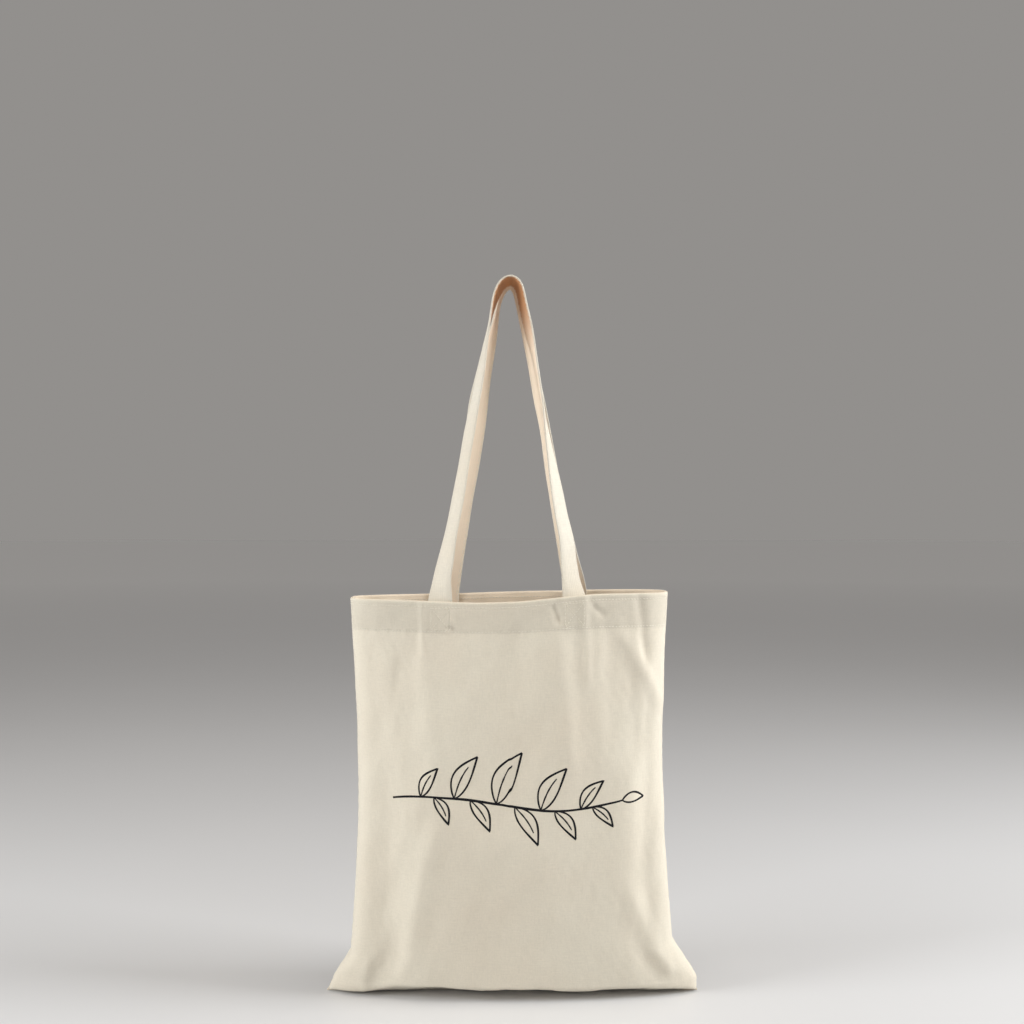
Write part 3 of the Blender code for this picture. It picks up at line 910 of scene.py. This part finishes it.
def strap_surface(side, line, across_dir, out_dir, station, across, out):
    """Points of the strap. The cloth cups a little, dips at its two rows of stitching, and wavers."""
    cup = CUPPING * (0.6 + 0.4 * np.sin(station * 0.045 + side)) * across**2
    rows = ROW_DIP * bump(np.abs(across), EDGE_ROW, 0.05) * out
    waver = WAVER * np.sin(station * 0.21 + 2 * side) * across
    offset = out * STRAP_THICKNESS / 2 - cup - rows + waver
    index = np.clip(np.round(station).astype(int), 0, len(line) - 1)
    aside = across_dir[index] * (across * STRAP_WIDTH / 2)[:, None]
    return line[index] + aside + out_dir[index] * offset[:, None]


def build_strap(label, side):
    settings = bpy.context.scene.tote_bag
    line, across_dir, out_dir, rise = strap_line(side)
    last = len(line) - 1
    length = last * STRAP_STATION
    girth = 2 * (STRAP_WIDTH + STRAP_THICKNESS)
    bm = flat_grid(girth, length, STRAP_ROUND, last)
    flat = coords(bm.verts)
    station = np.round(flat[:, 1] / length * last)
    across, out = strap_profile(flat[:, 0] / girth)
    painted_shade = bm.verts.layers.float.new("painted_shade")
    inward = bm.verts.layers.float["inward"]
    # Painted shade: every strap underside gets a little of the tan, the front strap's crown nearly all of
    # it, the back one's less.
    crown = ease((rise[station.astype(int)] - 0.235) / 0.07)
    under = ease(-0.1 - 1.4 * out) * ease((1.0 - np.abs(across)) / 0.16)
    amounts = under * mix(0.12, 0.97 if side == FRONT else 0.45, crown)
    # The same undersides are marked inward, for the painted warm bounce light.
    for vert, amount, within in zip(bm.verts, amounts, under):
        vert[painted_shade] = amount
        vert[inward] = within
    put(bm.verts, strap_surface(side, line, across_dir, out_dir, station, across, out))
    bmesh.ops.remove_doubles(bm, verts=bm.verts, dist=2e-5)
    bmesh.ops.holes_fill(bm, edges=[edge for edge in bm.edges if edge.is_boundary], sides=0)
    turn_outward(bm)
    strap = link(f"{label}_strap", to_mesh(bm, f"{label}_strap"), cloth_material("strap"))
    rows = []
    for face in (1, -1):
        for edge in (-EDGE_ROW, EDGE_ROW):
            at = np.arange(3, last - 3, settings.stitch_pitch / STRAP_STATION)
            index = np.round(at).astype(int)
            level = (np.full(len(at), edge), np.full(len(at), face))
            run = strap_surface(side, line, across_dir, out_dir, index, *level)
            rows.append((run, out_dir[index] * face, np.gradient(line, axis=0)[index]))
    points, ups, along = (np.vstack(part) for part in zip(*rows))
    thread_width = settings.thread_width
    shape = stitch_shape(settings.stitch_length * 0.9, thread_width * 0.8, thread_width * 0.55)
    sewing = stitches(f"{label}_strap_stitches", points, ups, along, shape, cloth_material("thread"))
    pivot = next(joint["pos_m"] for joint in frame["joints"] if joint["child"] == f"{label}_handle")
    for piece, name in ((strap, "strap_webbing"), (sewing, "thread")):
        low = (0, pivot[1], MOUTH - BLEND_BELOW)
        high = (0, pivot[1], MOUTH + BLEND_ABOVE)
        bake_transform(piece, "bag", f"{label}_handle", start=low, end=high)
    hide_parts(f"{label}_handle", f"{label}_handle_left_end", f"{label}_handle_right_end")


class TOTE_OT_straps(bpy.types.Operator):
    """Make the two straps with their rows of stitching"""

    bl_idname = "tote.straps"
    bl_label = "Straps"

    def execute(self, context):
        for label, side in SIDES:
            build_strap(label, side)
        return {"FINISHED"}


# -------------------------------------------------- sewing

BOX_MARGIN = 0.003
ROW_MARGIN = 0.0016


def box_paths(foot):
    """The sewn box with one diagonal, and its other diagonal, as paths of x and drop."""
    x = foot - MOUTH_SWAY
    half = STRAP_WIDTH / 2 - BOX_MARGIN
    high, low = EDGE_STITCH_DROP + ROW_MARGIN, HEM_STITCH_DROP - ROW_MARGIN
    left, right = x - half, x + half
    corners = ((left, high), (right, high), (right, low), (left, low), (left, high), (right, low))
    return corners, ((right, high), (left, low))


class TOTE_OT_sewing(bpy.types.Operator):
    """Make the rows of stitching round the hem and over the strap ends"""

    bl_idname = "tote.sewing"
    bl_label = "Sewing"

    def execute(self, context):
        settings = context.scene.tote_bag
        thread = cloth_material("thread")
        end = FLAT_WIDTH / 2 - 0.002
        for label, side in SIDES:
            for row, drop in (("edge", EDGE_STITCH_DROP), ("hem", HEM_STITCH_DROP)):
                path = ((-end, drop), (end, drop))
                name = f"{label}_{row}_stitches"
                piece = sewn_on_cloth(name, side, path, settings, STITCH_LIFT, thread)
                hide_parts(f"{label}_{row}_stitching")
                self.finish(piece)
                behind = -2 * FOLD_RADIUS
                inside = sewn_on_cloth(f"{name}_inside", side, path, settings, behind, thread)
                self.finish(inside)
            for hand, foot in zip(("left", "right"), FEET[side]):
                for part, path in zip(("box", "cross"), box_paths(foot)):
                    name = f"{label}_{hand}_{part}_stitches"
                    piece = sewn_on_cloth(name, side, path, settings, STITCH_LIFT, thread)
                    if part == "box":
                        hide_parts(f"{label}_{hand}_box_stitch")
                    self.finish(piece)
        return {"FINISHED"}

    def finish(self, piece):
        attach(piece, "bag")


# -------------------------------------------------- seam allowances

FIN_WIDTH = 0.010
FIN_THICKNESS = 0.0016
FIN_FOOT = 0.060
FIN_COLUMNS = 6
FIN_ROWS = 120
EDGE_POINTS = 200
LOOP_PITCH = 0.0028
LOOP_STEP = 0.00035
LOOP_SETBACK = 0.0018
LOOP_REACH = 0.0022
LOOP_HALF_HEIGHT = 0.0014
BINDING_RADIUS = 0.00032


def side_fin_place(end):
    """A side seam's allowance stands inward from the seam and wavers a little."""
    top = MOUTH - HEM_DEPTH - 0.002

    def place(x, y):
        z = mix(FIN_FOOT, top, y / (top - FIN_FOOT))
        reach_here, _ = reach(z, end)
        out = reach_here - 0.0016 - x
        sway = MOUTH_SWAY * ease(z / MOUTH)
        lean = FIN_THICKNESS / 2 + 0.0016 * np.sin(z * 38 + end) * (x / FIN_WIDTH) ** 2
        return np.stack([end * out + sway, -lean * end, z], axis=1)

    return place, top - FIN_FOOT


def base_fin_place(length):
    """The base seam's allowance lies folded over on the back panel."""

    def place(x, y):
        rise = 0.0016 + FIN_THICKNESS + 0.0022 * (x / FIN_WIDTH)
        ripple = 0.0003 * np.sin(y * 60) * x / FIN_WIDTH
        return np.stack([y - length / 2, 0.0006 + x, rise + ripple], axis=1)

    return place


def overlock(name, edge, away, material):
    """Binding thread wound over a cut edge: a flattened coil that follows the edge's points."""
    run = run_along(edge)
    at = np.arange(0, run[-1], LOOP_STEP)
    centre = read_at(edge, run, at)
    along = unit(np.gradient(centre, axis=0))
    away = np.broadcast_to(np.array(away, float), centre.shape)
    flat = unit(np.cross(along, away))
    angle = (at * 2 * math.pi / LOOP_PITCH)[:, None]
    out = -LOOP_SETBACK + LOOP_REACH * np.cos(angle)
    coil = centre + away * out + flat * LOOP_HALF_HEIGHT * np.sin(angle)
    curve = bpy.data.curves.new(name, "CURVE")
    curve.dimensions = "3D"
    curve.bevel_depth = BINDING_RADIUS
    curve.bevel_resolution = 1
    curve.use_fill_caps = True
    spline = curve.splines.new("POLY")
    spline.points.add(len(coil) - 1)
    for point, co in zip(spline.points, coil):
        point.co = (*co, 1)
    holder = bpy.data.objects.new(name, curve)
    bpy.context.scene.collection.objects.link(holder)
    bpy.context.view_layer.update()
    mesh = bpy.data.meshes.new_from_object(holder.evaluated_get(bpy.context.evaluated_depsgraph_get()))
    mesh.name = name
    bpy.data.objects.remove(holder)
    mesh.shade_smooth()
    return link(name, mesh, material)


class TOTE_OT_seams(bpy.types.Operator):
    """Make the seam allowances inside the bag and the thread that binds them"""

    bl_idname = "tote.seams"
    bl_label = "Seams"

    def execute(self, context):
        for name, end in (("left", -1), ("right", 1)):
            place, length = side_fin_place(end)
            self.add(name, place, length)
        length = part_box("base_seam_allowance")[1].x * 2
        self.add("base", base_fin_place(length), length)
        return {"FINISHED"}

    def add(self, name, place, length):
        size = (FIN_WIDTH, length, FIN_COLUMNS, FIN_ROWS)
        cloth = cloth_material("canvas")
        fin = sheet(f"{name}_seam_cloth", *size, place, FIN_THICKNESS, cloth)
        along = np.linspace(0, length, EDGE_POINTS)
        edge = place(np.full(EDGE_POINTS, FIN_WIDTH), along)
        inner = place(np.full(EDGE_POINTS, FIN_WIDTH - 0.001), along)
        away_from_cloth = unit(edge - inner).mean(axis=0)
        thread = cloth_material("thread")
        binding = overlock(f"{name}_seam_binding", edge, away_from_cloth, thread)
        for piece, slot in ((fin, "canvas"), (binding, "thread")):
            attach(piece, "bag")
        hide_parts(f"{name}_seam_allowance")
        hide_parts(f"{name}_seam_overlock")


# -------------------------------------------------- the printed sprig

PRINT_DROP = 0.200
PRINT_LEFT = -0.122
PRINT_RIGHT = 0.112
INK_STATION = 0.0012
INK_ABOVE = 0.00012
INK_BELOW = 0.00030
LEAF_BEND = 0.08
LEAVES = (
    (-0.090, 0.034, 58), (-0.076, 0.030, -62), (-0.056, 0.047, 60), (-0.040, 0.036, -58),
    (-0.014, 0.057, 63), (0.004, 0.043, -58), (0.030, 0.049, 58), (0.044, 0.035, -54),
    (0.070, 0.036, 50), (0.082, 0.028, -44),
)


def stem(x):
    """The sprig's stem: a long shallow curve, as drop against x."""
    return PRINT_DROP + 0.010 * np.sin(x * 21 + 0.4) - 0.05 * x


def grown(x, out, off, degrees):
    """Points of a leaf, given along and across it, turned to grow from the stem at x."""
    angle = math.radians(degrees)
    across = out * math.cos(angle) - off * math.sin(angle)
    up = out * math.sin(angle) + off * math.cos(angle)
    return np.stack([x + across, stem(x) - up], axis=1)


def leaf_bend(t, length):
    return LEAF_BEND * length * np.sin(math.pi * t)


def leaf_outline(x, length, degrees):
    """Both edges of one leaf, as a closed loop of x and drop."""
    t = np.linspace(0, 1, 15)
    half_width = 0.26 * length * np.sin(math.pi * t**0.8) / 1.4
    bend = leaf_bend(t, length)
    out = np.concatenate([t * length, (t * length)[::-1]])
    off = np.concatenate([bend + half_width, (bend - half_width)[::-1]])
    return grown(x, out, off, degrees)


def leaf_vein(x, length, degrees):
    """The middle line of one leaf, which stops short of its tip."""
    t = np.linspace(0, 0.72, 8)
    return grown(x, t * length, leaf_bend(t, length), degrees)


def inked_line(name, path, width):
    """One printed line that lies on the front panel: a thin strip along a path of x and drop."""
    path = smooth_curve(path, INK_STATION)
    ahead = unit(np.gradient(path, axis=0))
    aside = np.stack([-ahead[:, 1], ahead[:, 0]], axis=1)
    run = np.linspace(0, 1, len(path))
    swell = width / 2 * (0.72 + 0.28 * np.sin(math.pi * run) + 0.08 * np.sin(run * 23))
    bm = flat_grid(1.0, float(len(path) - 1), 2, len(path) - 1)
    flat = coords(bm.verts)
    index = np.round(flat[:, 1]).astype(int)
    at = path[index] + aside[index] * (swell[index] * (2 * flat[:, 0] - 1))[:, None]
    share, drop = at[:, 0] / FLAT_WIDTH + 0.5, at[:, 1]
    set_pattern(bm, np.stack([share * FLAT_WIDTH, drop + HEM_DEPTH + FOLD_LENGTH], axis=1))
    put(bm.verts, on_cloth(FRONT, share, drop, INK_ABOVE)[0])
    back_face(bm, on_cloth(FRONT, share, drop, -INK_BELOW)[0])
    return bm


class TOTE_OT_print(bpy.types.Operator):
    """Print a plain leafy sprig on the front panel"""

    bl_idname = "tote.print_sprig"
    bl_label = "Print"

    def execute(self, context):
        width = context.scene.tote_bag.ink_width
        x = np.linspace(PRINT_LEFT, PRINT_RIGHT, 24)
        paths = [(np.stack([x, stem(x)], axis=1), width)]
        for at, length, degrees in LEAVES:
            paths.append((leaf_outline(at, length, degrees), width * 0.8))
            paths.append((leaf_vein(at, length, degrees), width * 0.6))
        paths.append((leaf_outline(PRINT_RIGHT, 0.026, 4), width * 0.8))
        whole = bmesh.new()
        for path, line_width in paths:
            part = inked_line("line", path, line_width)
            mesh = to_mesh(part, "line")
            whole.from_mesh(mesh)
            bpy.data.meshes.remove(mesh)
        bmesh.ops.recalc_face_normals(whole, faces=whole.faces)
        sprig = link("printed_sprig", to_mesh(whole, "printed_sprig"), cloth_material("ink"))
        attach(sprig, "bag")
        return {"FINISHED"}


# -------------------------------------------------- stage

CAMERA_DISTANCE = 1.46
CAMERA_HEIGHT = 0.4908
FLOOR_RADIUS = 24.0
WORLD_COLOR = (0.93, 0.895, 0.86, 1)
WORLD_STRENGTH = 0.31
# Each lamp's name, place, aim, size, watts and colour.
LAMPS = (
    ("right", (2.2, -0.36, 1.05), (0.05, 0, 0.28), (0.9, 1.3), 55, (0.965, 0.985, 1.0)),
    ("left", (-2.0, -0.86, 0.85), (-0.05, 0, 0.28), (0.9, 1.3), 36, (0.97, 0.99, 1.0)),
    ("over", (0.1, -0.2, 2.4), (0, 0, 0.35), (1.0, 0.8), 14, (1.0, 0.91, 0.78)),
)


def softbox(name, place, aim, size, power, color):
    lamp = bpy.data.lights.new(name, "AREA")
    lamp.shape = "RECTANGLE"
    lamp.size, lamp.size_y = size
    lamp.energy = power
    lamp.color = color
    made = bpy.data.objects.new(name, lamp)
    made.location = place
    made.rotation_euler = (Vector(aim) - Vector(place)).to_track_quat("-Z", "Y").to_euler()
    bpy.context.scene.collection.objects.link(made)


class TOTE_OT_stage(bpy.types.Operator):
    """Set the pale floor, the studio light and the camera"""

    bl_idname = "tote.stage"
    bl_label = "Stage"

    def execute(self, context):
        scene = context.scene
        world = bpy.data.worlds.new("studio")
        world.use_nodes = True
        background = world.node_tree.nodes["Background"]
        background.inputs[0].default_value = WORLD_COLOR
        background.inputs[1].default_value = WORLD_STRENGTH
        scene.world = world
        bm = bmesh.new()
        bmesh.ops.create_circle(bm, cap_ends=True, segments=128, radius=FLOOR_RADIUS)
        nodes = Nodes("floor")
        place = nodes.add("ShaderNodeTexCoord").outputs["Object"]
        far = nodes.add("ShaderNodeVectorMath", {0: place}, operation="LENGTH").outputs[1]
        tone = nodes.blend_color(nodes.noise(place, 1.5, 2.0), (0.68, 0.68, 0.69, 1), (0.71, 0.71, 0.72, 1))
        tone = nodes.blend_color(nodes.remap(far, 1.0, 9.0), tone, (0.98, 0.98, 0.98, 1))
        nodes.feed(nodes.shader.inputs["Base Color"], tone)
        nodes.shader.inputs["Roughness"].default_value = 0.55
        floor = link("floor", to_mesh(bm, "floor"), nodes.material)
        for lamp in LAMPS:
            softbox(*lamp)
        lens = bpy.data.cameras.new("camera")
        lens.lens = 50
        lens.sensor_width = 36
        camera = bpy.data.objects.new("camera", lens)
        camera.location = (0, -CAMERA_DISTANCE, CAMERA_HEIGHT)
        camera.rotation_euler = (math.pi / 2, 0, 0)
        scene.collection.objects.link(camera)
        scene.camera = camera
        scene.view_settings.view_transform = "Standard"
        return {"FINISHED"}


class TOTE_PT_sidebar(bpy.types.Panel):
    """Lists the bag's settings and the pieces it is made of"""

    bl_idname = "TOTE_PT_sidebar"
    bl_label = "Tote Bag"
    bl_space_type = "VIEW_3D"
    bl_region_type = "UI"
    bl_category = "Tote Bag"

    def draw(self, context):
        layout = self.layout
        for name in ToteSettings.__annotations__:
            layout.prop(context.scene.tote_bag, name)
        for operator in OPERATORS:
            layout.operator(operator.bl_idname)


OPERATORS = (TOTE_OT_stage, TOTE_OT_panels, TOTE_OT_straps, TOTE_OT_sewing, TOTE_OT_seams, TOTE_OT_print)
CLASSES = (ToteSettings, *OPERATORS, TOTE_PT_sidebar)


def register():
    for item in CLASSES:
        bpy.utils.register_class(item)
    bpy.types.Scene.tote_bag = bpy.props.PointerProperty(type=ToteSettings)


def unregister():
    del bpy.types.Scene.tote_bag
    for item in reversed(CLASSES):
        bpy.utils.unregister_class(item)


def main():
    register()
    bpy.ops.tote.stage()
    bpy.ops.tote.panels()
    bpy.ops.tote.straps()
    bpy.ops.tote.sewing()
    bpy.ops.tote.seams()
    bpy.ops.tote.print_sprig()


if __name__ == "__main__":
    main()
